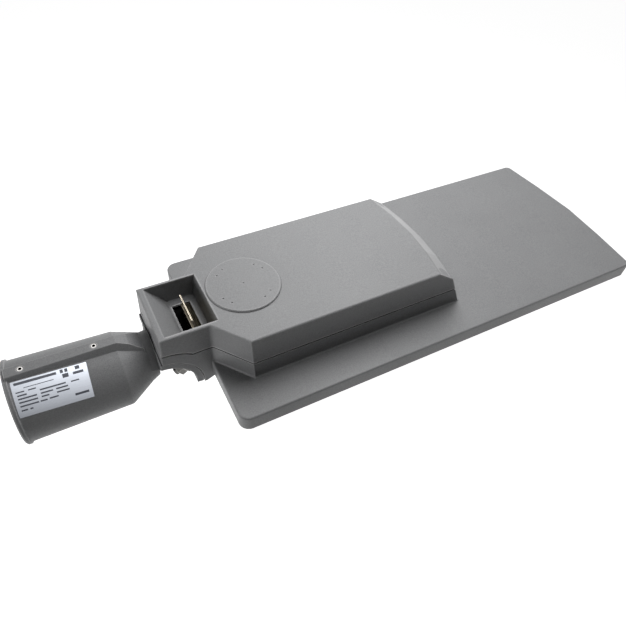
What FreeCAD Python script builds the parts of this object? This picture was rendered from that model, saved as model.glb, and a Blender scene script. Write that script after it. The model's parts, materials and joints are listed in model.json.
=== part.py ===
import FreeCAD, Part
import math
import os

from FreeCAD import Placement, Rotation, Vector

# Street light head on an adjustable pole spigot, in millimetres.
#
# The spigot is drawn in the pole frame: the socket mouth is the origin, the pole leaves
# towards -X and the lamp lies towards +X. The head is drawn in its own frame: X along the
# panel from its rear edge, Z = 0 on the panel's top face. place_head() then sets it at the
# hinge, with the lift that the photograph shows.

# Head and hinge
head_lift = 1.5            # degrees that the head points up from the pole axis at rest
hinge_x = 129.8            # hinge axis in the pole frame
hinge_z = -12.2
saddle_x = -51.3           # the same axis in the head frame
saddle_z = -22.5
tilt_range = 25.0          # degrees that the head can be tipped down from the rest pose

# Panel
panel_length = 521.0
panel_half = 115.0
panel_point = 10.5         # how far the pointed far end stands out on the centre line
panel_bulge = 1.2          # how far each half of that end bows out
panel_thick = 18.0
panel_skin = 4.0
panel_rim = 6.0
rear_corner = 11.0
far_corner = 7.0
edge_round = 1.8

# Driver box and neck
box_top = 53.2
bevel_z = 39.0
box_half = 71.0
box_draft = 3.0
neck_half = 36.9
neck_draft = 0.6
neck_end = -46.0
neck_lean = 0.045
chamfer_start = 2.7
chamfer_end = 29.3
box_end_top = 243.5
box_end_bevel = 264.2
box_end_foot = 281.0
box_point = 8.2
box_bulge = 1.8
wall = 3.6
cover_round = 2.0
neck_round = 4.5
foot_bead = 1.3            # sloped bead where the box stands on the panel

# Seam between base and cover
seam_z = 20.3
seam_gap = 1.5
ring_x = -45.3             # the seam's arc over the saddle
ring_z = -15.5
ring_radius = 45.2
seal_inset = 1.8
seal_width = 1.6

# Saddle, tongue and clamp
saddle_radius = 41.9
tongue_radius = 41.0
tongue_inner = 34.4
tongue_start = 3.0         # degrees from the head's vertical, at rest
tongue_end = 96.0
clamp_angle = 55.0
clamp_y = 26.0
bolt_radius = 4.0
bolt_hole = 4.4
seat_radius = 50.0
bar_back = 9.0
bar_front = 7.0
bar_thick = 7.0
bar_half = 33.0
lug_half = 18.0
notch_half = 12.0

# Well in the neck
well_floor = 28.0
well_skin = 2.5
well_top = (-40.2, 11.7, 33.4)
well_bottom = (-20.0, 7.7, 32.4)
window = (-17.7, 1.0, 23.6)

# Photocell pad
pad_x = 51.5
pad_radius = 38.0
pad_height = 1.9
dimple_circle = 28.6
dimple_angles = (25, 45, 115, 135, 205, 225, 295, 315)

# Light modules
module_xs = (77.0, 195.0, 313.0, 431.0)
module_long = 106.0
module_wide = 190.0
chip_xs = (-26.0, 26.0)
chip_ys = (-70.0, -42.0, -14.0, 14.0, 42.0, 70.0)
board_z = -panel_skin
board_thick = 1.6
lens_back = -7.0
lens_thick = 3.0
dome_radius = 9.5
dome_height = 5.0
lens_screw_at = [(x, y) for x in (-49.0, 49.0) for y in (-91.0, 0.0, 91.0)]
cover_screw_at = [(x, y * side) for x, y in ((15.0, 42.0), (136.0, 64.0), (254.0, 64.0)) for side in (-1, 1)]
pillar_radius = 6.0

# Bulkhead and cable gland
bulkhead = (11.0, 14.5)
gland_z = 10.6

# Pole spigot
socket_radius = 31.5
socket_depth = 98.0
mouth_radius = 39.8
shoulder_radius = 37.9
shoulder_x = 100.5
flange_radius = 41.4
flange_thick = 4.0
cone_steps = ((101.3, 37.0, 0.0), (124.1, 25.5, 5.4), (131.6, 23.9, 8.9))    # x, radius, height of centre
collar_radius = 36.3
spigot_end = 132.5
rib_half = 5.3             # at the rib's top; its sides widen downwards
rib_draft = 0.45
rib_line = ((2.6, 43.6), (100.0, 44.4), (110.8, 39.8), (123.0, 31.0))
cable_radius = 12.0
screw_xs = (16.8, 80.6)
set_screw_radius = 3.0
set_screw_drop = 0.2       # below the rib's top


def block(x0, x1, y0, y1, z0, z1):
    return Part.makeBox(x1 - x0, y1 - y0, z1 - z0, Vector(x0, y0, z0))


def upright(radius, x, y, z0, z1):
    return Part.makeCylinder(radius, z1 - z0, Vector(x, y, z0))


def across(radius, x, z, half):
    """A cylinder along Y, centred on the middle plane."""
    return Part.makeCylinder(radius, 2 * half, Vector(x, -half, z), Vector(0, 1, 0))


def polygon(points):
    return Part.makePolygon([Vector(*p) for p in points] + [Vector(*points[0])])


def plate(points, z0, z1):
    """A plan outline given in X and Y, raised from z0 to z1."""
    return Part.Face(polygon([(x, y, z0) for x, y in points])).extrude(Vector(0, 0, z1 - z0))


def slab(points, half):
    """A side outline given in X and Z, as wide as 2 * half."""
    return Part.Face(polygon([(x, -half, z) for x, z in points])).extrude(Vector(0, 2 * half, 0))


def turned(points):
    """A profile of (x, radius) points turned about the X axis."""
    face = Part.Face(polygon([(x, 0, r) for x, r in points]))
    return face.revolve(Vector(0, 0, 0), Vector(1, 0, 0), 360)


def turned_up(points, x=0.0, y=0.0):
    """A profile of (radius, z) points turned about the upright line at x, y."""
    face = Part.Face(polygon([(x + r, y, z) for r, z in points]))
    return face.revolve(Vector(x, y, 0), Vector(0, 0, 1), 360)


def hexagon(across_flats, z0, z1):
    reach = across_flats / math.sqrt(3)
    points = [(reach * math.cos(math.radians(60 * i)), reach * math.sin(math.radians(60 * i)))
              for i in range(6)]
    return plate(points, z0, z1)


def fused(shapes):
    return shapes[0].multiFuse(shapes[1:]).removeSplitter() if len(shapes) > 1 else shapes[0]


def at(shape, x, y, z=0.0):
    moved = shape.copy()
    moved.translate(Vector(x, y, z))
    return moved


def radial(shape, y=0.0, angle=clamp_angle):
    """Stands a shape drawn along +Z on the saddle axis, pointing out at the angle."""
    moved = shape.copy()
    moved.Placement = Placement(Vector(saddle_x, y, saddle_z), Rotation(Vector(0, 1, 0), angle))
    return moved


def place_head(shape):
    moved = shape.copy()
    to_axis = Placement(Vector(-saddle_x, 0, -saddle_z), Rotation())
    lifted = Placement(Vector(hinge_x, 0, hinge_z), Rotation(Vector(0, 1, 0), -head_lift))
    moved.Placement = lifted * to_axis * moved.Placement
    return moved


def panel_outline(inset=0.0):
    half = panel_half - inset
    slope = panel_point / panel_half
    far = panel_length - inset * math.hypot(1, slope) + slope * inset
    middle = far + slope * half / 2 + panel_bulge
    return [(inset, -half), (far, -half), (middle, -half / 2), (far + slope * half, 0), (middle, half / 2),
            (far, half), (inset, half)]


def box_end(z):
    if z > bevel_z:
        return box_end_bevel + (box_end_top - box_end_bevel) * (z - bevel_z) / (box_top - bevel_z)
    return box_end_foot + (box_end_bevel - box_end_foot) * z / bevel_z


def box_outline(z, inset=0.0):
    """Plan of the driver box and neck at height z, moved inwards by inset."""
    low = (box_top - z) / box_top
    neck = neck_half + neck_draft * low
    half = box_half + box_draft * low
    run = math.hypot(chamfer_end - chamfer_start, box_half - neck_half)
    du = (chamfer_end - chamfer_start) / run
    dv = (box_half - neck_half) / run
    x1 = chamfer_start + inset * (1 - du) / dv
    x2 = chamfer_start + (inset + (half - inset - neck) * du) / dv
    slope = box_point / box_half
    far = box_end(z) - inset * math.hypot(1, slope) + slope * inset
    rear = neck_end - neck_lean * (box_top - z) + inset
    near_side = [(rear, inset - neck), (x1, inset - neck), (x2, inset - half), (far, inset - half)]
    far_side = [(x, -y) for x, y in reversed(near_side)]
    middle = far + slope * (half - inset) / 2 + box_bulge
    tip = [(middle, (inset - half) / 2), (far + slope * (half - inset), 0), (middle, (half - inset) / 2)]
    return near_side + tip + far_side


def box_loft(levels, inset=0.0):
    rings = [polygon([(x, y, z) for x, y in box_outline(z, inset)]) for z in levels]
    return Part.makeLoft(rings, True, True)


def well_loft(grow=0.0):
    """The open pocket in the neck; grow gives the outside of its skin."""
    def ring(corners, z):
        x0, x1, half = corners
        return polygon([(x0 - grow, -half - grow, z), (x1 + grow, -half - grow, z),
                        (x1 + grow, half + grow, z), (x0 - grow, half + grow, z)])
    lower = well_floor - (well_skin if grow else 0.0)
    return Part.makeLoft([ring(well_bottom, lower), ring(well_top, box_top + 0.1)], True, True)


def neck_block():
    """The neck under the panel's level, down to the lip that ends the saddle."""
    profile = [(-30.0, 0.0), (14.0, 0.0), (14.0, -panel_thick), (1.0, -24.0), (-7.0, -28.0), (-30.0, -28.0)]
    return slab(profile, neck_half + neck_draft)


def below_seam(raised=0.0):
    """Everything under the seam: the box's lower part and the ring over the saddle."""
    low = block(-80.0, 320.0, -90.0, 90.0, -40.0, seam_z + raised)
    return low.fuse(across(ring_radius + raised, ring_x, ring_z, 60.0))


outer = box_loft([0.0, bevel_z, box_top])
neck_corners = [e for e in outer.Edges if abs(e.Vertexes[0].X - chamfer_start) < 0.5
                and abs(e.Vertexes[-1].X - chamfer_start) < 0.5]
outer = outer.makeFillet(neck_round, neck_corners)
saddle = across(saddle_radius, saddle_x, saddle_z, 60.0)
ring = across(ring_radius, ring_x, ring_z, 60.0)
inner = box_loft([0.0, bevel_z, box_top - wall], wall)
bulkhead_wall = block(bulkhead[0], bulkhead[1], -60.0, 60.0, 0.0, box_top)


def make_base_casting():
    panel = plate(panel_outline(), -panel_thick, 0.0)
    corners = [e for e in panel.Edges if abs(e.Vertexes[0].Z - e.Vertexes[-1].Z) > 1
               and abs(e.Vertexes[0].Y) > 100]
    panel = panel.makeFillet(rear_corner, [e for e in corners if e.Vertexes[0].X < 10])
    corners = [e for e in panel.Edges if abs(e.Vertexes[0].Z - e.Vertexes[-1].Z) > 1
               and abs(e.Vertexes[0].Y) > 100 and e.Vertexes[0].X > 100]
    panel = panel.makeFillet(far_corner, corners)
    rim_edges = [e for e in panel.Edges if all(abs(v.Z) < 0.01 for v in e.Vertexes)]
    panel = panel.makeFillet(edge_round, rim_edges)
    panel = panel.cut(plate(panel_outline(panel_rim), -panel_thick - 1, -panel_skin))
    pillars = [upright(pillar_radius, x, y, 0.0, seam_z) for x, y in cover_screw_at]
    hollow = inner.cut(ring).cut(bulkhead_wall)
    walls = outer.common(below_seam()).cut(hollow)
    bead_rings = [polygon([(x, y, z) for x, y in box_outline(z, z - foot_bead)]) for z in (0.0, foot_bead)]
    bead = Part.makeLoft(bead_rings, True, True).cut(box_loft([0.0, bevel_z], 1.5))
    bead = bead.common(plate(panel_outline(edge_round), 0.0, foot_bead))
    body = fused([panel, walls, bead, neck_block()] + [p.common(outer) for p in pillars])
    body = body.cut(saddle)
    tools = [radial(block(-bar_back - 0.4, bar_front + 0.4, -bar_half - 0.3, bar_half + 0.3, seat_radius, 62.0))]
    tools += [radial(upright(bolt_hole, 0, 0, 30.0, 60.0), y) for y in (-clamp_y, clamp_y)]
    tools.append(radial(upright(9.0, 0, 0, 38.0, 60.0), 0.0, 28.0))
    tools.append(Part.makeCylinder(8.0, 10.0, Vector(8.0, 0, gland_z), Vector(1, 0, 0)))
    tools += [upright(2.75, x, y, -10.0, seam_z + 1) for x, y in cover_screw_at]
    tools += [upright(1.6, cx + x, y, -10.0, -1.2) for cx in module_xs for x, y in lens_screw_at]
    return body.cut(tools)


def make_top_cover():
    shell = outer.cut(inner.cut(well_loft(wall - 0.6)).cut(bulkhead_wall))
    top_edges = [e for e in shell.Edges if all(abs(v.Z - box_top) < 0.01 for v in e.Vertexes)]
    shell = shell.makeFillet(cover_round, top_edges)
    pad = turned_up([(0, box_top - 1), (pad_radius, box_top - 1), (pad_radius, box_top + 0.6),
                     (pad_radius - 0.9, box_top + pad_height), (0, box_top + pad_height)], pad_x)
    pillars = [upright(pillar_radius, x, y, 0.0, box_top - 1).common(outer) for x, y in cover_screw_at]
    body = fused([shell, pad] + pillars)
    x0, x1, half = window
    tools = [well_loft(), block(x0, x1, -half, half, well_floor - 5, well_floor + 1)]
    tools += [upright(2.4, x, y, 0.0, 38.0) for x, y in cover_screw_at]
    spots = [(pad_x, 0.0)]
    spots += [(pad_x + dimple_circle * math.cos(math.radians(a)), dimple_circle * math.sin(math.radians(a)))
              for a in dimple_angles]
    tools += [upright(1.0, x, y, box_top + 1.4, box_top + 3) for x, y in spots]
    return body.cut(below_seam(seam_gap)).cut(tools)


def make_cover_gasket():
    levels = [0.0, bevel_z]
    loop = box_loft(levels, seal_inset).cut(box_loft(levels, seal_inset + seal_width))
    return loop.common(below_seam(seam_gap)).cut(below_seam())


def make_cover_screws():
    """Socket screws that hold the cover, put in from the panel's underside."""
    profile = [(0, -7.6), (4.3, -7.6), (4.3, -panel_skin), (2.4, -panel_skin), (2.4, 34.0), (0, 34.0)]
    screw = turned_up(profile).cut(hexagon(4.0, -8.0, -5.4))
    return [at(screw, x, y) for x, y in cover_screw_at]


def make_clamp_bar():
    foot = radial(block(-bar_back, bar_front, -bar_half, bar_half, seat_radius, seat_radius + bar_thick))
    lug = slab([(-9.6, 12.0), (-9.6, 34.6), (-7.9, 35.2), (-9.4, 46.5), (-8.2, 46.5), (-6.0, 33.5), (0.4, 30.0),
                (0.4, 24.0), (-1.2, 14.0)], lug_half)
    body = fused([foot, lug])
    return body.cut([radial(upright(bolt_hole, 0, 0, 40.0, 70.0), y) for y in (-clamp_y, clamp_y)])


def make_lug_boot():
    """A rubber tray that closes the window round the lug and keeps rain out of the housing."""
    x0, x1, half = window
    tray = block(x0 - 1.5, x1 + 1.5, -half - 1.5, half + 1.5, 20.6, well_floor - well_skin - 0.5)
    inside = block(x0, x1, -half, half, 22.1, well_floor)
    slit = block(-10.0, 0.8, -lug_half - 0.3, lug_half + 0.3, 10.0, 23.0)
    return tray.cut([inside, slit, across(ring_radius + 0.3, ring_x, ring_z, 60.0)])


def make_clamp_bolts():
    head_foot = seat_radius + bar_thick
    bolt = hexagon(13.0, head_foot, head_foot + 4.5).fuse(upright(bolt_radius, 0, 0, 20.0, head_foot))
    bolt = bolt.removeSplitter()
    return [radial(bolt, y) for y in (-clamp_y, clamp_y)]


def make_clamp_washers():
    """Washers whose outer face follows the inside of the tongue."""
    made = []
    for y in (-clamp_y, clamp_y):
        pad = radial(block(-6.5, 6.5, -6.5, 6.5, 30.5, 36.0), y)
        pad = pad.common(across(tongue_inner - 0.3, saddle_x, saddle_z, 60.0))
        made.append(pad.cut(radial(upright(bolt_radius, 0, 0, 20.0, 60.0), y)))
    return made


def make_clamp_nuts():
    nut = hexagon(13.0, 24.0, 30.5).cut(upright(bolt_radius, 0, 0, 20.0, 40.0))
    return [radial(nut, y) for y in (-clamp_y, clamp_y)]


def along_x(points):
    """A turned profile of (x, radius) on the cable gland's axis."""
    return at(turned(points), 0, 0, gland_z)


def make_cable_gland():
    x0 = bulkhead[0]
    nose = [(1.6, 4.5), (1.6, 7.0), (3.2, 8.6), (7.2, 8.6), (7.2, 9.9), (x0, 9.9), (x0, 8.0), (20.5, 8.0), (20.5, 4.5)]
    return along_x(nose)


def make_gland_locknut():
    nut = hexagon(18.0, 0.0, 4.5).cut(upright(8.0, 0, 0, -1, 6))
    nut.Placement = Placement(Vector(bulkhead[1], 0, gland_z), Rotation(Vector(0, 1, 0), 90))
    return nut


def make_led_driver():
    case = block(32.0, 186.0, -31.0, 31.0, 0.0, 36.0)
    upper = [e for e in case.Edges if all(abs(v.Z - 36.0) < 0.01 for v in e.Vertexes)]
    case = case.makeFillet(2.5, upper)
    feet = [block(24.0, 194.0, -26.0, 26.0, 0.0, 2.5)]
    holes = [upright(2.4, x, y, -1.0, 4.0) for x in (28.0, 190.0) for y in (-18.0, 18.0)]
    return fused([case] + feet).cut(holes)


def make_driver_screws():
    screw = turned_up([(0, 5.2), (3.6, 5.2), (4.0, 2.5), (2.0, 2.5), (2.0, 0.0), (0, 0.0)])
    return [at(screw, x, y) for x in (28.0, 190.0) for y in (-18.0, 18.0)]


def make_surge_protector():
    body = block(200.0, 246.0, -44.0, -6.0, 0.0, 24.0)
    return body.makeFillet(2.0, [e for e in body.Edges if all(v.Z > 23.9 for v in e.Vertexes)])


def make_terminal_block():
    body = block(206.0, 228.0, 8.0, 50.0, 0.0, 17.0)
    ports = [block(200.0, 212.0, y - 2.6, y + 2.6, 2.5, 8.0) for y in (15.0, 29.0, 43.0)]
    heads = [upright(2.2, 220.0, y, 13.0, 18.0) for y in (15.0, 29.0, 43.0)]
    return body.cut(ports + heads)


def make_earth_screw():
    return turned_up([(0, 5.0), (4.0, 5.0), (4.3, 3.0), (4.3, 0.0), (0, 0.0)], 26.0, 40.0)


def make_led_boards():
    half_x = module_long / 2 - 9.0
    half_y = module_wide / 2 - 9.0
    return [block(cx - half_x, cx + half_x, -half_y, half_y, board_z - board_thick, board_z) for cx in module_xs]


def chip_spots():
    return [(cx + x, y) for cx in module_xs for x in chip_xs for y in chip_ys]


def make_led_chips():
    top = board_z - board_thick
    return [block(x - 1.8, x + 1.8, y - 1.8, y + 1.8, top - 0.8, top) for x, y in chip_spots()]


def make_lens_gaskets():
    half_x = module_long / 2
    half_y = module_wide / 2
    made = []
    for cx in module_xs:
        frame = block(cx - half_x, cx + half_x, -half_y, half_y, lens_back, board_z)
        frame = frame.cut(block(cx - half_x + 8, cx + half_x - 8, -half_y + 8, half_y - 8, -10, 0))
        made.append(frame.cut([upright(1.6, cx + x, y, -10, 0) for x, y in lens_screw_at]))
    return made


def make_lens_plates():
    half_x = module_long / 2
    half_y = module_wide / 2
    front = lens_back - lens_thick
    sphere = (dome_radius ** 2 + dome_height ** 2) / (2 * dome_height)
    dome = Part.makeSphere(sphere, Vector(0, 0, front - dome_height + sphere))
    dome = dome.common(upright(dome_radius + 1, 0, 0, front - 2 * dome_height, front))
    made = []
    for cx in module_xs:
        sheet = block(cx - half_x, cx + half_x, -half_y, half_y, front, lens_back)
        upright_edges = [e for e in sheet.Edges if abs(e.Vertexes[0].Z - e.Vertexes[-1].Z) > 1]
        sheet = sheet.makeFillet(4.0, upright_edges)
        sheet = sheet.multiFuse([at(dome, cx + x, y) for x in chip_xs for y in chip_ys])
        made.append(sheet.cut([upright(1.6, cx + x, y, -12, 0) for x, y in lens_screw_at]))
    return made


def make_lens_screws():
    front = lens_back - lens_thick
    profile = [(0, front - 1.8), (2.2, front - 1.8), (2.9, front), (1.5, front), (1.5, -1.3), (0, -1.3)]
    screw = turned_up(profile)
    return [at(screw, cx + x, y) for cx in module_xs for x, y in lens_screw_at]


def make_tongue():
    """The curved plate under the neck, split for the cable and slotted for the bolts."""
    ring_plate = across(tongue_radius, saddle_x, saddle_z, neck_half)
    ring_plate = ring_plate.cut(across(tongue_inner, saddle_x, saddle_z, 60.0))
    reach = 60.0
    fan = [(0.0, 0.0)]
    fan += [(reach * math.sin(math.radians(a)), reach * math.cos(math.radians(a)))
            for a in (tongue_start, 35.0, 65.0, tongue_end)]
    sector = slab([(saddle_x + x, saddle_z + z) for x, z in fan], 60.0)
    body = ring_plate.common(sector)
    gap_fan = [(0.0, 0.0)]
    gap_fan += [(reach * math.sin(math.radians(a)), reach * math.cos(math.radians(a)))
                for a in (14.0, 45.0, 75.0, tongue_end + 4.0)]
    body = body.cut(slab([(saddle_x + x, saddle_z + z) for x, z in gap_fan], notch_half))
    slots = []
    for y in (-clamp_y, clamp_y):
        first = radial(upright(bolt_radius + 0.5, 0, 0, 20.0, 60.0), y)
        last = radial(upright(bolt_radius + 0.5, 0, 0, 20.0, 60.0), y, clamp_angle + tilt_range)
        start = math.radians(clamp_angle)
        stop = math.radians(clamp_angle + tilt_range)
        wedge = [(0.0, 0.0), (reach * math.sin(start), reach * math.cos(start)),
                 (reach * math.sin(stop), reach * math.cos(stop))]
        middle = slab([(saddle_x + x, saddle_z + z) for x, z in wedge], bolt_radius + 0.5)
        slots += [first, last, at(middle, 0, y)]
    return place_head(body.cut(slots))


def make_rib():
    """The raised rib that takes the set screws, with drafted sides."""
    side = slab([(rib_line[0][0], 20.0)] + list(rib_line) + [(rib_line[-1][0], 20.0)], 20.0)
    low, high = 20.0, 50.0
    half_low, half_high = (rib_half + rib_draft * (44.0 - z) for z in (low, high))
    section = [(-half_low, low), (-half_high, high), (half_high, high), (half_low, low)]
    wedge = Part.Face(polygon([(0.0, y, z) for y, z in section])).extrude(Vector(130.0, 0, 0))
    rib = side.common(wedge)
    long_edges = [e for e in rib.Edges if e.Length > 60 and min(v.Z for v in e.Vertexes) > 40]
    return rib.makeFillet(0.9, long_edges)


def make_pole_spigot():
    """The round barrel leans up through a skew cone into the root of the tongue."""
    barrel = turned([(0, 0), (0, flange_radius - 1.4), (1.4, flange_radius), (flange_thick, flange_radius),
                     (flange_thick + 0.8, mouth_radius), (shoulder_x - 1.2, shoulder_radius),
                     cone_steps[0][:2], (cone_steps[0][0], 0)])
    circles = [Part.Wire(Part.makeCircle(r, Vector(x, 0, z), Vector(1, 0, 0))) for x, r, z in cone_steps]
    cone = Part.makeLoft(circles, True, True)
    collar = turned([(118.0, 0), (118.0, 26.0), (129.6, 29.5), (130.6, 31.5), (131.2, collar_radius),
                     (spigot_end, collar_radius), (spigot_end, 0)])
    web = [(-neck_half, 60.0), (-neck_half, 20.5), (-15.0, 2.0), (15.0, 2.0), (neck_half, 20.5), (neck_half, 60.0)]
    web_face = Part.Face(polygon([(110.0, y, z) for y, z in web]))
    collar = collar.common(across(tongue_radius, hinge_x, hinge_z, neck_half))
    collar = collar.common(web_face.extrude(Vector(30.0, 0, 0)))
    body = fused([barrel, cone, make_rib(), collar, make_tongue()])
    hollow = turned([(-1, 0), (-1, socket_radius), (socket_depth, socket_radius), (118.0, 18.0), (124.0, cable_radius),
                     (spigot_end + 1, cable_radius), (spigot_end + 1, 0)])
    tools = [hollow]
    tools += [upright(set_screw_radius, x, 0, 20.0, 60.0) for x in screw_xs]
    return body.cut(tools)


def make_spigot_set_screws():
    made = []
    for x in screw_xs:
        share = (x - rib_line[0][0]) / (rib_line[1][0] - rib_line[0][0])
        top = rib_line[0][1] + share * (rib_line[1][1] - rib_line[0][1]) - set_screw_drop
        profile = [(0, 32.4), (2.0, 32.4), (set_screw_radius, 33.4), (set_screw_radius, top - 0.5),
                   (set_screw_radius - 0.5, top), (0, top)]
        made.append(at(turned_up(profile).cut(hexagon(3.0, top - 3.5, top + 1)), x, 0))
    return made


def export(name, solids, on_head=True):
    parts = solids if isinstance(solids, list) else [solids]
    placed = [place_head(s) if on_head else s for s in parts]
    shape = placed[0] if len(placed) == 1 else Part.makeCompound(placed)
    shape.exportStep("parts/" + name + ".step")
    print(name, len(shape.Solids), "solids", round(shape.Volume / 1000, 1), "cm3", shape.isValid())


os.makedirs("parts", exist_ok=True)
export("pole_spigot", make_pole_spigot(), False)
export("spigot_set_screws", make_spigot_set_screws(), False)
export("base_casting", make_base_casting())
export("top_cover", make_top_cover())
export("cover_gasket", make_cover_gasket())
export("cover_screws", make_cover_screws())
export("clamp_bar", make_clamp_bar())
export("lug_boot", make_lug_boot())
export("clamp_bolts", make_clamp_bolts())
export("clamp_washers", make_clamp_washers())
export("clamp_nuts", make_clamp_nuts())
export("cable_gland", make_cable_gland())
export("gland_locknut", make_gland_locknut())
export("led_driver", make_led_driver())
export("driver_screws", make_driver_screws())
export("surge_protector", make_surge_protector())
export("terminal_block", make_terminal_block())
export("earth_screw", make_earth_screw())
export("led_boards", make_led_boards())
export("led_chips", make_led_chips())
export("lens_gaskets", make_lens_gaskets())
export("lens_plates", make_lens_plates())
export("lens_screws", make_lens_screws())
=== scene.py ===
import json
import math

import bpy
import bmesh
from mathutils import Matrix, Vector


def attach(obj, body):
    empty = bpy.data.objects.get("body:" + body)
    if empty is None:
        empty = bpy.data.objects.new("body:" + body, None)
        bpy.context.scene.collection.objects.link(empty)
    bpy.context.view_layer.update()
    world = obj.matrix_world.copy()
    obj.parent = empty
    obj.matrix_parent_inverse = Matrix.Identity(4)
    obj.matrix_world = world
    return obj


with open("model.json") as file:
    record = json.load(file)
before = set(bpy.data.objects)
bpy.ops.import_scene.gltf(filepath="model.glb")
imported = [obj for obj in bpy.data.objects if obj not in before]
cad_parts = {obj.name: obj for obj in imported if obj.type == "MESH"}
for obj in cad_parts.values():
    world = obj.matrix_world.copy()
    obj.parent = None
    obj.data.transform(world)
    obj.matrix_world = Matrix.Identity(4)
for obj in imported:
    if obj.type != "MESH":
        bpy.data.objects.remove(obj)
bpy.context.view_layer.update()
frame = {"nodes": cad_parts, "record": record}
nodes = frame["nodes"]
scene = bpy.context.scene
scene.view_settings.view_transform = "Standard"


# small helpers for node trees

nodeStep = (220, 260)      # from one column or row of nodes to the next, in the editor
noiseSpan = (0.3, 0.7)     # nearly all of a noise texture's values lie in it
midGrey = (0.5, 0.5, 0.5, 1)


def addNode(tree, kind, **settings):
    made = tree.nodes.new(kind)
    for name, value in settings.items():
        setattr(made, name, value)
    return made


def fill(tree, socket, value):
    # a node's output is linked to the socket, any other value is set on it
    if isinstance(value, bpy.types.NodeSocket):
        tree.links.new(value, socket)
    else:
        socket.default_value = value


def feed(tree, target, **values):
    for name, value in values.items():
        fill(tree, target.inputs[name.replace("_", " ")], value)


def place(tree, group, **values):
    made = addNode(tree, "ShaderNodeGroup", node_tree=group)
    feed(tree, made, **values)
    return made.outputs


def objectPoint(tree):
    return addNode(tree, "ShaderNodeTexCoord").outputs["Object"]


def split(tree, vector):
    made = addNode(tree, "ShaderNodeSeparateXYZ")
    feed(tree, made, Vector=vector)
    return made.outputs


def noise(tree, where, scale, detail, rough=0.5):
    made = addNode(tree, "ShaderNodeTexNoise")
    feed(tree, made, Vector=where, Scale=scale, Detail=detail, Roughness=rough)
    return made.outputs["Fac"]


def spread(tree, value, span, onto=(0.0, 1.0)):
    # maps one span of values onto another and holds what lies outside at its ends
    made = addNode(tree, "ShaderNodeMapRange")
    feed(tree, made, Value=value, From_Min=span[0], From_Max=span[1], To_Min=onto[0], To_Max=onto[1])
    return made.outputs["Result"]


def centred(tree, value):
    # a noise about zero, from -1 to 1
    return spread(tree, value, noiseSpan, (-1.0, 1.0))


def maths(tree, operation, first, second):
    made = addNode(tree, "ShaderNodeMath", operation=operation)
    fill(tree, made.inputs[0], first)
    fill(tree, made.inputs[1], second)
    return made.outputs[0]


def shade(tree, colour, value):
    # multiplies a colour's brightness by a value
    made = addNode(tree, "ShaderNodeHueSaturation")
    feed(tree, made, Color=colour, Value=value)
    return made.outputs["Color"]


def blend(tree, share, first, second, kind="RGBA"):
    made = addNode(tree, "ShaderNodeMix", data_type=kind)
    feed(tree, made, Factor=share, A=first, B=second)
    return made.outputs["Result"]


def arrange(tree, last):
    # each node stands in a column to the left of all that it feeds
    columns = {}

    def visit(node, column):
        if columns.get(node.name, -1) < column:
            columns[node.name] = column
            for socket in node.inputs:
                for link in socket.links:
                    visit(link.from_node, column + 1)

    visit(last, 0)
    filled = {}
    for name, column in columns.items():
        row = filled.get(column, 0)
        tree.nodes[name].location = (-column * nodeStep[0], -row * nodeStep[1])
        filled[column] = row + 1


# effects that several finishes share

def startGroup(name, inputs, outputs):
    group = bpy.data.node_groups.new(name, "ShaderNodeTree")
    for title, kind, value in inputs:
        socket = group.interface.new_socket(title, in_out="INPUT", socket_type="NodeSocket" + kind)
        socket.default_value = value
    for title, kind in outputs:
        group.interface.new_socket(title, in_out="OUTPUT", socket_type="NodeSocket" + kind)
    given = addNode(group, "NodeGroupInput").outputs
    return group, given, addNode(group, "NodeGroupOutput")


grainNoise = {"cloudScale": 11.0, "cloudDetail": 4.0, "fineDetail": 2.0, "fineRough": 0.6,
              "bevelSamples": 6}


def buildCastGrain():
    # wide clouds and fine speckle in the colour, a fine grain on the surface and softened edges
    group, given, result = startGroup(
        "castGrain",
        [("Colour", "Color", midGrey), ("Cloud", "Float", 0.04), ("Speckle", "Float", 0.05),
         ("Grain Size", "Float", 900.0), ("Grain Depth", "Float", 0.0001), ("Roughness", "Float", 0.5),
         ("Roughness Spread", "Float", 0.06), ("Edge Radius", "Float", 0.0004)],
        [("Colour", "Color"), ("Roughness", "Float"), ("Normal", "Vector")])
    where = objectPoint(group)
    clouds = centred(group, noise(group, where, grainNoise["cloudScale"], grainNoise["cloudDetail"]))
    grain = noise(group, where, given["Grain Size"], grainNoise["fineDetail"], grainNoise["fineRough"])
    cloudy = maths(group, "MULTIPLY", clouds, given["Cloud"])
    speckled = maths(group, "MULTIPLY", centred(group, grain), given["Speckle"])
    brightness = maths(group, "ADD", maths(group, "ADD", cloudy, speckled), 1.0)
    uneven = maths(group, "MULTIPLY", clouds, given["Roughness Spread"])
    softened = addNode(group, "ShaderNodeBevel", samples=grainNoise["bevelSamples"])
    feed(group, softened, Radius=given["Edge Radius"])
    bump = addNode(group, "ShaderNodeBump")
    feed(group, bump, Height=grain, Distance=given["Grain Depth"], Normal=softened.outputs["Normal"])
    feed(group, result, Colour=shade(group, given["Colour"], brightness),
         Roughness=maths(group, "ADD", uneven, given["Roughness"]), Normal=bump.outputs["Normal"])
    arrange(group, result)
    return group


dustNoise = {"scale": 38.0, "detail": 5.0, "rough": 0.7, "patches": (0.35, 0.75), "upward": (0.2, 0.95)}


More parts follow.
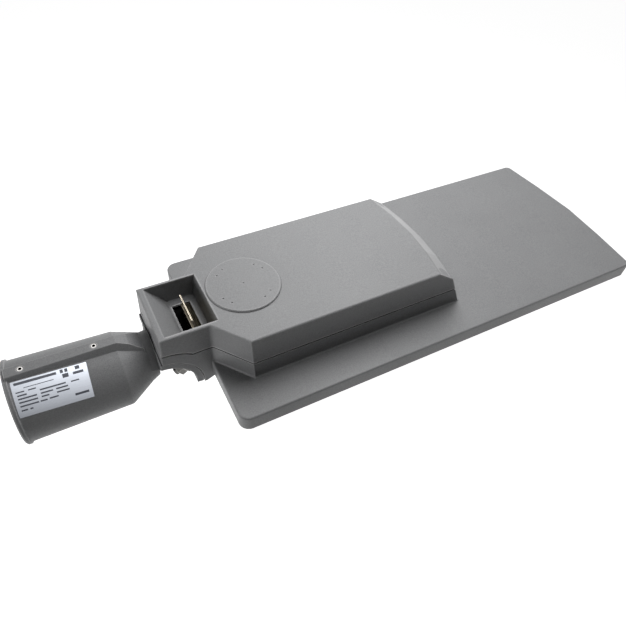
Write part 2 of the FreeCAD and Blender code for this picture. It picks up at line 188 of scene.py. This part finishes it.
def buildSettledDust():
    # pale dust lies on what faces up, more in some places than in others
    group, given, result = startGroup(
        "settledDust",
        [("Colour", "Color", midGrey), ("Dust", "Color", (0.5, 0.48, 0.45, 1)), ("Amount", "Float", 0.1)],
        [("Colour", "Color")])
    normal = addNode(group, "ShaderNodeNewGeometry").outputs["Normal"]
    facing = spread(group, split(group, normal)["Z"], dustNoise["upward"])
    drifts = noise(group, objectPoint(group), dustNoise["scale"], dustNoise["detail"], dustNoise["rough"])
    lying = maths(group, "MULTIPLY", facing, spread(group, drifts, dustNoise["patches"]))
    mask = maths(group, "MULTIPLY", lying, given["Amount"])
    feed(group, result, Colour=blend(group, mask, given["Colour"], given["Dust"]))
    arrange(group, result)
    return group


lineNoise = {"detail": 3.0, "rough": 0.6}


def buildDrawnLines():
    # fine parallel tool or rolling marks, stretched along one direction
    group, given, result = startGroup(
        "drawnLines",
        [("Colour", "Color", midGrey), ("Stretch", "Vector", (1.0, 1.0, 1.0)), ("Line Size", "Float", 900.0),
         ("Contrast", "Float", 0.1), ("Depth", "Float", 0.00002), ("Roughness", "Float", 0.3)],
        [("Colour", "Color"), ("Roughness", "Float"), ("Normal", "Vector")])
    drawn = addNode(group, "ShaderNodeVectorMath", operation="MULTIPLY")
    fill(group, drawn.inputs[0], objectPoint(group))
    fill(group, drawn.inputs[1], given["Stretch"])
    lines = noise(group, drawn.outputs["Vector"], given["Line Size"], lineNoise["detail"],
                  lineNoise["rough"])
    scaled = maths(group, "MULTIPLY", centred(group, lines), given["Contrast"])
    bump = addNode(group, "ShaderNodeBump")
    feed(group, bump, Height=lines, Distance=given["Depth"])
    feed(group, result, Colour=shade(group, given["Colour"], maths(group, "ADD", scaled, 1.0)),
         Roughness=maths(group, "ADD", scaled, given["Roughness"]), Normal=bump.outputs["Normal"])
    arrange(group, result)
    return group


highlightRays = {"samples": 8, "highlightSpan": (0.95, 0.55)}


def buildPaintedEdgeHighlights():
    # painted highlight: convex edges are painted paler, in place of the light that rounded edges catch; rays
    # sent inwards find the neighbouring face there
    group, given, result = startGroup(
        "paintedEdgeHighlights",
        [("Colour", "Color", midGrey), ("Edge Colour", "Color", (0.8, 0.8, 0.8, 1)),
         ("Width", "Float", 0.001), ("Amount", "Float", 0.5)],
        [("Colour", "Color")])
    inward = addNode(group, "ShaderNodeAmbientOcclusion", samples=highlightRays["samples"], inside=True)
    feed(group, inward, Distance=given["Width"])
    mask = maths(group, "MULTIPLY", spread(group, inward.outputs["AO"], highlightRays["highlightSpan"]), given["Amount"])
    feed(group, result, Colour=blend(group, mask, given["Colour"], given["Edge Colour"]))
    arrange(group, result)
    return group


hollowRays = {"samples": 8}


def buildHollowPaintedShade():
    # painted shade: hollows, inner corners and narrow gaps are painted darker, where shade falls
    group, given, result = startGroup(
        "hollowShade",
        [("Colour", "Color", midGrey), ("Reach", "Float", 0.03), ("Amount", "Float", 0.3),
         ("Open", "Float", 0.95), ("Closed", "Float", 0.25)],
        [("Colour", "Color")])
    around = addNode(group, "ShaderNodeAmbientOcclusion", samples=hollowRays["samples"])
    feed(group, around, Distance=given["Reach"])
    hollow = spread(group, around.outputs["AO"], (given["Open"], given["Closed"]))
    mask = maths(group, "MULTIPLY", hollow, given["Amount"])
    feed(group, result, Colour=shade(group, given["Colour"], maths(group, "SUBTRACT", 1.0, mask)))
    arrange(group, result)
    return group


castGrain = buildCastGrain()
settledDust = buildSettledDust()
drawnLines = buildDrawnLines()
paintedEdgeHighlights = buildPaintedEdgeHighlights()
hollowShade = buildHollowPaintedShade()
print("shared effects built")


# finishes

def startMaterial(name):
    material = bpy.data.materials.new(name)
    material.use_nodes = True
    tree = material.node_tree
    return material, tree, tree.nodes["Principled BSDF"]


def endMaterial(material):
    arrange(material.node_tree, material.node_tree.nodes["Material Output"])
    return material


def placeGrain(tree, look):
    return place(tree, castGrain, Colour=look["colour"], Cloud=look["cloud"], Speckle=look["speckle"],
                 Grain_Size=look["grainSize"], Grain_Depth=look["grainDepth"], Roughness=look["roughness"],
                 Roughness_Spread=look["spread"], Edge_Radius=look["edge"])


def placeLines(tree, look):
    return place(tree, drawnLines, Colour=look["colour"], Stretch=look["stretch"],
                 Line_Size=look["lineSize"], Contrast=look["contrast"], Depth=look["depth"],
                 Roughness=look["roughness"])


def paintShadeAndHighlights(tree, colour, look):
    # painted shade in hollows and narrow gaps, then painted highlights on convex edges, as far as the finish
    # has them
    if look.get("hollow"):
        colour = place(tree, hollowShade, Colour=colour, Reach=look["hollowReach"],
                       Amount=look["hollow"])["Colour"]
    if look.get("gapShade"):
        colour = place(tree, hollowShade, Colour=colour, Reach=look["gapShadeReach"], Amount=look["gapShade"],
                       Open=look["gapShadeOpen"], Closed=look["gapShadeClosed"])["Colour"]
    if look.get("highlightColour"):
        colour = place(tree, paintedEdgeHighlights, Colour=colour, Edge_Colour=look["highlightColour"],
                       Width=look["highlightWidth"], Amount=look["highlightAmount"])["Colour"]
    return colour


def grainy(name, look):
    # paint, rubber, ink and moulded plastic: a colour with clouds, speckle and fine grain
    material, tree, shader = startMaterial(name)
    grain = placeGrain(tree, look)
    colour = grain["Colour"]
    if look.get("dust"):
        colour = place(tree, settledDust, Colour=colour, Dust=look["dustColour"],
                       Amount=look["dust"])["Colour"]
    feed(tree, shader, Base_Color=paintShadeAndHighlights(tree, colour, look), Roughness=grain["Roughness"],
         Normal=grain["Normal"])
    shader.inputs["Specular IOR Level"].default_value = look["gloss"]
    return endMaterial(material)


def metallic(name, look):
    # bare or plated metal with drawn lines
    material, tree, shader = startMaterial(name)
    lines = placeLines(tree, look)
    colour = lines["Colour"]
    if look.get("tint"):
        patches = noise(tree, objectPoint(tree), look["tintScale"], look["tintDetail"])
        colour = blend(tree, spread(tree, patches, look["tintSpan"]), colour, look["tint"])
    feed(tree, shader, Base_Color=paintShadeAndHighlights(tree, colour, look), Roughness=lines["Roughness"],
         Normal=lines["Normal"])
    shader.inputs["Metallic"].default_value = 1.0
    return endMaterial(material)


def clearPlastic(name, look):
    material, tree, shader = startMaterial(name)
    grain = placeGrain(tree, look)
    feed(tree, shader, Base_Color=grain["Colour"], Roughness=grain["Roughness"], Normal=grain["Normal"])
    shader.inputs["Transmission Weight"].default_value = 1.0
    shader.inputs["IOR"].default_value = look["ior"]
    return endMaterial(material)


def circuitBoard(name, look):
    # white solder mask with the faint outlines of wide copper areas under it
    material, tree, shader = startMaterial(name)
    where = objectPoint(tree)
    pads = addNode(tree, "ShaderNodeTexBrick")
    feed(tree, pads, Vector=where, Scale=look["padScale"], Color1=look["colour"], Color2=look["padColour"],
         Mortar=look["gapColour"], Mortar_Size=look["gapWidth"])
    bump = addNode(tree, "ShaderNodeBump")
    feed(tree, bump, Height=pads.outputs["Fac"], Distance=look["depth"])
    uneven = noise(tree, where, look["patchScale"], look["patchDetail"])
    feed(tree, shader, Base_Color=pads.outputs["Color"], Normal=bump.outputs["Normal"],
         Roughness=spread(tree, uneven, noiseSpan, look["roughness"]))
    return endMaterial(material)


# painted shade in hollows and narrow gaps such as the seam, and painted highlights on convex edges
castingPaint = {
    "colour": (0.295, 0.297, 0.303, 1), "cloud": 0.03, "speckle": 0.14, "grainSize": 850.0,
    "grainDepth": 0.00016, "roughness": 0.44, "spread": 0.05, "gloss": 0.32, "edge": 0.0011,
    "dust": 0.1, "dustColour": (0.42, 0.42, 0.42, 1),
    "hollow": 0.32, "hollowReach": 0.035, "gapShade": 0.95, "gapShadeReach": 0.005, "gapShadeOpen": 0.5, "gapShadeClosed": 0.2,
    "highlightColour": (0.7, 0.7, 0.705, 1), "highlightAmount": 1.0,
    "highlightWidth": 0.00115}   # wider, it would show the blind screw holes 1.2 mm under the panel's top
coverPaint = {**castingPaint, "edge": 0.0014, "highlightWidth": 0.0024, "highlightAmount": 0.8}   # rounder edges, and a wider painted edge highlight
moulded = {"grainDepth": 0.00004, "spread": 0.05, "edge": 0.0003}
# near-black silicone for the seals; the same near-black on the pad under the slot window is painted shade in
# place of the deep slot
blackRubberAndSlotShade = {
    **moulded, "colour": (0.004, 0.004, 0.004, 1), "cloud": 0.1, "speckle": 0.1, "grainSize": 2200.0,
    "grainDepth": 0.00005, "roughness": 0.85, "gloss": 0.03}
whiteRubber = {
    **moulded, "colour": (0.68, 0.68, 0.66, 1), "cloud": 0.05, "speckle": 0.04, "grainSize": 1800.0,
    "roughness": 0.7, "gloss": 0.3}
blackNylon = {
    **moulded, "colour": (0.02, 0.02, 0.02, 1), "cloud": 0.08, "speckle": 0.1, "grainSize": 1600.0,
    "roughness": 0.45, "gloss": 0.4}
greyNylon = {
    **moulded, "colour": (0.12, 0.125, 0.13, 1), "cloud": 0.06, "speckle": 0.05, "grainSize": 1600.0,
    "roughness": 0.42, "gloss": 0.4}
blueCase = {
    **moulded, "colour": (0.035, 0.05, 0.085, 1), "cloud": 0.06, "speckle": 0.05, "grainSize": 1500.0,
    "roughness": 0.4, "gloss": 0.4}
phosphorGel = {
    **moulded, "colour": (0.85, 0.6, 0.08, 1), "cloud": 0.05, "speckle": 0.12, "grainSize": 5200.0,
    "grainDepth": 0.00002, "roughness": 0.3, "gloss": 0.5}
# with painted highlights on its convex edges
stainlessSteel = {
    "colour": (0.13, 0.128, 0.122, 1), "stretch": (1.0, 1.0, 9.0), "lineSize": 700.0, "contrast": 0.1,
    "depth": 0.00002, "roughness": 0.28,
    "highlightColour": (0.7, 0.69, 0.67, 1), "highlightWidth": 0.0006, "highlightAmount": 0.5}
# near-white steel; the dark in the hex sockets is painted shade
brightSteel = {
    "colour": (0.92, 0.9, 0.87, 1), "stretch": (1.0, 1.0, 9.0), "lineSize": 700.0, "contrast": 0.06,
    "depth": 0.00001, "roughness": 0.25, "hollow": 0.985, "hollowReach": 0.006}
# with painted highlights on its convex edges; its patchy tint is its own
yellowZinc = {
    "colour": (0.15, 0.135, 0.095, 1), "stretch": (1.0, 0.08, 1.0), "lineSize": 900.0, "contrast": 0.12,
    "depth": 0.00002, "roughness": 0.3,
    "tint": (0.11, 0.095, 0.07, 1), "tintScale": 160.0, "tintDetail": 3.0, "tintSpan": (0.4, 0.62),
    "highlightColour": (0.8, 0.72, 0.6, 1), "highlightWidth": 0.0006, "highlightAmount": 0.9}
driverCase = {
    "colour": (0.5, 0.51, 0.52, 1), "stretch": (0.06, 1.0, 1.0), "lineSize": 1200.0, "contrast": 0.08,
    "depth": 0.00002, "roughness": 0.42}
lensAcrylic = {
    "colour": (0.93, 0.96, 0.97, 1), "cloud": 0.01, "speckle": 0.0, "grainSize": 260.0,
    "grainDepth": 0.00004, "roughness": 0.06, "spread": 0.02, "edge": 0.0004, "ior": 1.49}
boardMask = {
    "colour": (0.72, 0.72, 0.69, 1), "padColour": (0.69, 0.69, 0.66, 1), "gapColour": (0.6, 0.6, 0.57, 1),
    "padScale": 26.0, "gapWidth": 0.03, "depth": 0.00004,
    "roughness": (0.34, 0.46), "patchScale": 300.0, "patchDetail": 2.0}

finishes = {
    "powder_coat": grainy("castingPaint", castingPaint),
    "stainless": metallic("stainlessSteel", stainlessSteel),
    "yellow_zinc": metallic("yellowZinc", yellowZinc),
    "silicone_seal": grainy("blackRubberAndSlotShade", blackRubberAndSlotShade),
    "silicone_pad": grainy("whiteRubber", whiteRubber),
    "driver_case": metallic("driverCase", driverCase),
    "black_nylon": grainy("blackNylon", blackNylon),
    "grey_nylon": grainy("greyNylon", greyNylon),
    "blue_grey_case": grainy("blueCase", blueCase),
    "white_board": circuitBoard("boardMask", boardMask),
    "phosphor": grainy("phosphorGel", phosphorGel),
    "clear_acrylic": clearPlastic("lensAcrylic", lensAcrylic),
}
for entry in frame["record"]["subparts"]:
    mesh = nodes[entry["node"]].data
    mesh.materials.clear()
    mesh.materials.append(finishes[entry["material_slot"]])
nodes["top_cover"].data.materials[0] = grainy("coverPaint", coverPaint)
nodes["spigot_set_screws"].data.materials[0] = metallic("brightSteel", brightSteel)   # bright from the key
print("finishes on", len(nodes), "nodes")


# rating plate on the barrel, left bare apart from plain ruled marks

ratingPlate = {
    "start": (0.0060, 0.0052), "end": (0.0700, 0.0678),          # X at the top and at the bottom edge
    "firstAngle": (102.3, 105.2), "lastAngle": (150.2, 155.1),   # degrees from +Y, at the outer and inner end
    "mouthX": 0.0048, "mouthRadius": 0.0398, "shoulderX": 0.0993, "shoulderRadius": 0.0379,
    "lift": 0.00003, "thick": 0.0002, "printThick": 0.00002, "cells": (8, 16), "printCells": (2, 2)}

# each mark from and to along the plate, its middle down the plate and its height, as shares of the plate
printedMarks = (
    (0.04, 0.59, 0.085, 0.075), (0.64, 0.68, 0.075, 0.100), (0.70, 0.74, 0.075, 0.100),
    (0.84, 0.90, 0.080, 0.100),
    (0.66, 0.74, 0.215, 0.110), (0.80, 0.94, 0.215, 0.070), (0.15, 0.54, 0.235, 0.020),
    (0.04, 0.15, 0.325, 0.034), (0.20, 0.30, 0.325, 0.034),
    (0.05, 0.17, 0.415, 0.040), (0.34, 0.68, 0.405, 0.040), (0.75, 0.86, 0.415, 0.034),
    (0.05, 0.29, 0.505, 0.040), (0.34, 0.50, 0.500, 0.040), (0.54, 0.70, 0.495, 0.040),
    (0.05, 0.29, 0.600, 0.040), (0.34, 0.44, 0.590, 0.040), (0.54, 0.71, 0.590, 0.040),
    (0.05, 0.29, 0.700, 0.040), (0.31, 0.40, 0.700, 0.040), (0.43, 0.55, 0.690, 0.040),
    (0.05, 0.13, 0.815, 0.040), (0.16, 0.20, 0.815, 0.040), (0.76, 0.95, 0.790, 0.062))


def between(pair, share):
    return pair[0] + share * (pair[1] - pair[0])


def barrelPoint(along, down, lift):
    # a point of the plate, from shares along and down it and a height over the barrel
    plate = ratingPlate
    x = between((between(plate["start"], down), between(plate["end"], down)), along)
    taper = (x - plate["mouthX"]) / (plate["shoulderX"] - plate["mouthX"])
    radius = between((plate["mouthRadius"], plate["shoulderRadius"]), taper) + lift
    degrees = between((between(plate["firstAngle"], along), between(plate["lastAngle"], along)), down)
    angle = math.radians(degrees)
    return Vector((x, radius * math.cos(angle), radius * math.sin(angle)))


def addPatch(shape, along, down, lift, thick, cells):
    # a thin curved sheet that follows the barrel
    columns, rows = cells

    def layer(height):
        return [[shape.verts.new(barrelPoint(between(along, i / columns), between(down, j / rows), height))
                 for i in range(columns + 1)] for j in range(rows + 1)]

    lower = layer(lift)
    upper = layer(lift + thick)
    for j in range(rows):
        for i in range(columns):
            shape.faces.new((upper[j][i], upper[j + 1][i], upper[j + 1][i + 1], upper[j][i + 1]))
            shape.faces.new((lower[j][i], lower[j][i + 1], lower[j + 1][i + 1], lower[j + 1][i]))
    rim = [(j, 0) for j in range(rows)] + [(rows, i) for i in range(columns)]
    rim += [(j, columns) for j in range(rows, 0, -1)] + [(0, i) for i in range(columns, 0, -1)]
    for (j0, i0), (j1, i1) in zip(rim, rim[1:] + rim[:1]):
        shape.faces.new((lower[j0][i0], lower[j1][i1], upper[j1][i1], upper[j0][i0]))


def finishPiece(shape, name, material, body):
    bmesh.ops.recalc_face_normals(shape, faces=shape.faces)
    mesh = bpy.data.meshes.new(name)
    shape.to_mesh(mesh)
    shape.free()
    mesh.materials.append(material)
    piece = bpy.data.objects.new(name, mesh)
    scene.collection.objects.link(piece)
    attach(piece, body)


# the foil's painted sheen runs across alongSpan and upSpan
plateFoil = {
    "colour": (0.86, 0.905, 0.99, 1), "stretch": (0.05, 1.0, 1.0), "lineSize": 2600.0, "contrast": 0.05,
    "depth": 0.000004, "roughness": 0.42, "metal": 0.85,
    "alongSpan": (0.006, 0.07), "alongPaintedSheen": (0.66, 1.04), "upSpan": (0.018, 0.038), "upPaintedSheen": (0.46, 1.0)}
plateInk = {
    "colour": (0.13, 0.14, 0.17, 1), "cloud": 0.1, "speckle": 0.25, "grainSize": 2600.0,
    "grainDepth": 0.00001, "roughness": 0.5, "spread": 0.05, "gloss": 0.5, "edge": 0.0004}


def silverFoil(name, look):
    # a bluish foil with a painted sheen: its colour is brighter towards its top and its inner end, in place
    # of its reflection
    material, tree, shader = startMaterial(name)
    lines = placeLines(tree, look)
    where = split(tree, objectPoint(tree))
    paintedSheen = maths(tree, "MULTIPLY", spread(tree, where["X"], look["alongSpan"], look["alongPaintedSheen"]),
                  spread(tree, where["Z"], look["upSpan"], look["upPaintedSheen"]))
    feed(tree, shader, Base_Color=shade(tree, lines["Colour"], paintedSheen), Roughness=lines["Roughness"],
         Normal=lines["Normal"])
    shader.inputs["Metallic"].default_value = look["metal"]
    return endMaterial(material)


plate = bmesh.new()
addPatch(plate, (0.0, 1.0), (0.0, 1.0), ratingPlate["lift"], ratingPlate["thick"], ratingPlate["cells"])
finishPiece(plate, "rating_plate", silverFoil("silverFoil", plateFoil), "spigot")

marks = bmesh.new()
plateTop = ratingPlate["lift"] + ratingPlate["thick"]
for alongFrom, alongTo, middle, height in printedMarks:
    addPatch(marks, (alongFrom, alongTo), (middle - height / 2, middle + height / 2), plateTop,
             ratingPlate["printThick"], ratingPlate["printCells"])
finishPiece(marks, "rating_plate_marks", grainy("markInk", plateInk), "spigot")
print("rating plate made")


# floor, lamps and camera

floorPaper = {
    "colour": (0.7, 0.7, 0.7, 1), "cloud": 0.01, "speckle": 0.01, "grainSize": 300.0, "grainDepth": 0.0,
    "roughness": 0.9, "spread": 0.02, "edge": 0.0004}
floorSheet = {
    "z": -0.26, "width": 8.0, "glow": 0.97,
    "alongSpan": (-0.3, 0.5), "bounce": (0.02, 0.31),       # light thrown up, from the pole to the far end
    "acrossSpan": (-0.8, -0.2), "bounceShare": (1.5, 0.8)}  # and its share, from in front to under the lamp


def whiteRays(tree):
    # 1 for what the camera, gloss and glass see, 0 for light that falls on the object
    path = addNode(tree, "ShaderNodeLightPath").outputs
    seen = maths(tree, "MAXIMUM", path["Is Camera Ray"], path["Is Glossy Ray"])
    return maths(tree, "MAXIMUM", seen, path["Is Transmission Ray"])


def paperMaterial():
    # white paper that throws up a measured light and isn't there for what looks at it from below
    material, tree, shader = startMaterial("floorPaper")
    grain = placeGrain(tree, floorPaper)
    feed(tree, shader, Base_Color=grain["Colour"], Roughness=grain["Roughness"])
    shader.inputs["Specular IOR Level"].default_value = 0.0
    where = split(tree, objectPoint(tree))
    bounce = maths(tree, "MULTIPLY", spread(tree, where["X"], floorSheet["alongSpan"], floorSheet["bounce"]),
                   spread(tree, where["Y"], floorSheet["acrossSpan"], floorSheet["bounceShare"]))
    glow = addNode(tree, "ShaderNodeEmission")
    feed(tree, glow, Strength=blend(tree, whiteRays(tree), bounce, floorSheet["glow"], "FLOAT"))
    lit = addNode(tree, "ShaderNodeAddShader")
    fill(tree, lit.inputs[0], shader.outputs["BSDF"])
    fill(tree, lit.inputs[1], glow.outputs["Emission"])
    sides = addNode(tree, "ShaderNodeMixShader")
    fill(tree, sides.inputs["Fac"], addNode(tree, "ShaderNodeNewGeometry").outputs["Backfacing"])
    fill(tree, sides.inputs[1], lit.outputs["Shader"])
    fill(tree, sides.inputs[2], addNode(tree, "ShaderNodeBsdfTransparent").outputs["BSDF"])
    feed(tree, tree.nodes["Material Output"], Surface=sides.outputs["Shader"])
    return endMaterial(material)


def buildFloor():
    half = floorSheet["width"] / 2
    outline = ((-half, -half), (half, -half), (half, half), (-half, half))
    corners = [(x, y, floorSheet["z"]) for x, y in outline]
    mesh = bpy.data.meshes.new("floor")
    mesh.from_pydata(corners, [], [(0, 1, 2, 3)])
    mesh.materials.append(paperMaterial())
    floor = bpy.data.objects.new("floor", mesh)
    scene.collection.objects.link(floor)


def buildSky():
    # white where it is seen, without any light of its own on the object
    scene.world = bpy.data.worlds.new("studio")
    scene.world.use_nodes = True
    tree = scene.world.node_tree
    feed(tree, tree.nodes["Background"], Color=(1, 1, 1, 1), Strength=whiteRays(tree))
    arrange(tree, tree.nodes["World Output"])


lamps = {
    "ceilingBox": {"at": (0.48, 0.235, 0.66), "aim": (0.46, 0.1, 0.0), "size": (0.46, 0.64), "watts": 5.2},
    "poleSideFill": {"at": (-0.9, -0.05, 0.14), "aim": (0.2, -0.03, 0.04), "size": (0.2, 0.2), "watts": 3.4},
}


def buildLamps():
    for name, look in lamps.items():
        light = bpy.data.lights.new(name, "AREA")
        light.shape = "RECTANGLE"
        light.size, light.size_y = look["size"]
        light.energy = look["watts"]
        lamp = bpy.data.objects.new(name, light)
        lamp.location = look["at"]
        lamp.rotation_euler = (Vector(look["aim"]) - Vector(look["at"])).to_track_quat("-Z", "Y").to_euler()
        scene.collection.objects.link(lamp)


photoView = {
    "at": (0.080055, -0.366664, 0.458949),
    "along": (0.36792, 0.56971, -0.73489),
    "up": (0.29396, 0.67853, 0.67319),
    "lens": 31.86, "sensor": 36.0, "clipStart": 0.01}   # lens and sensor in millimetres


def buildCamera():
    data = bpy.data.cameras.new("photoView")
    data.sensor_width = photoView["sensor"]
    data.lens = photoView["lens"]
    data.clip_start = photoView["clipStart"]
    camera = bpy.data.objects.new("photoView", data)
    back = -Vector(photoView["along"]).normalized()
    right = Vector(photoView["up"]).cross(back).normalized()
    turn = Matrix((right, back.cross(right), back)).transposed()
    camera.matrix_world = Matrix.Translation(photoView["at"]) @ turn.to_4x4()
    scene.collection.objects.link(camera)
    scene.camera = camera


buildFloor()
buildSky()
buildLamps()
buildCamera()
print("stage, lamps and camera set")
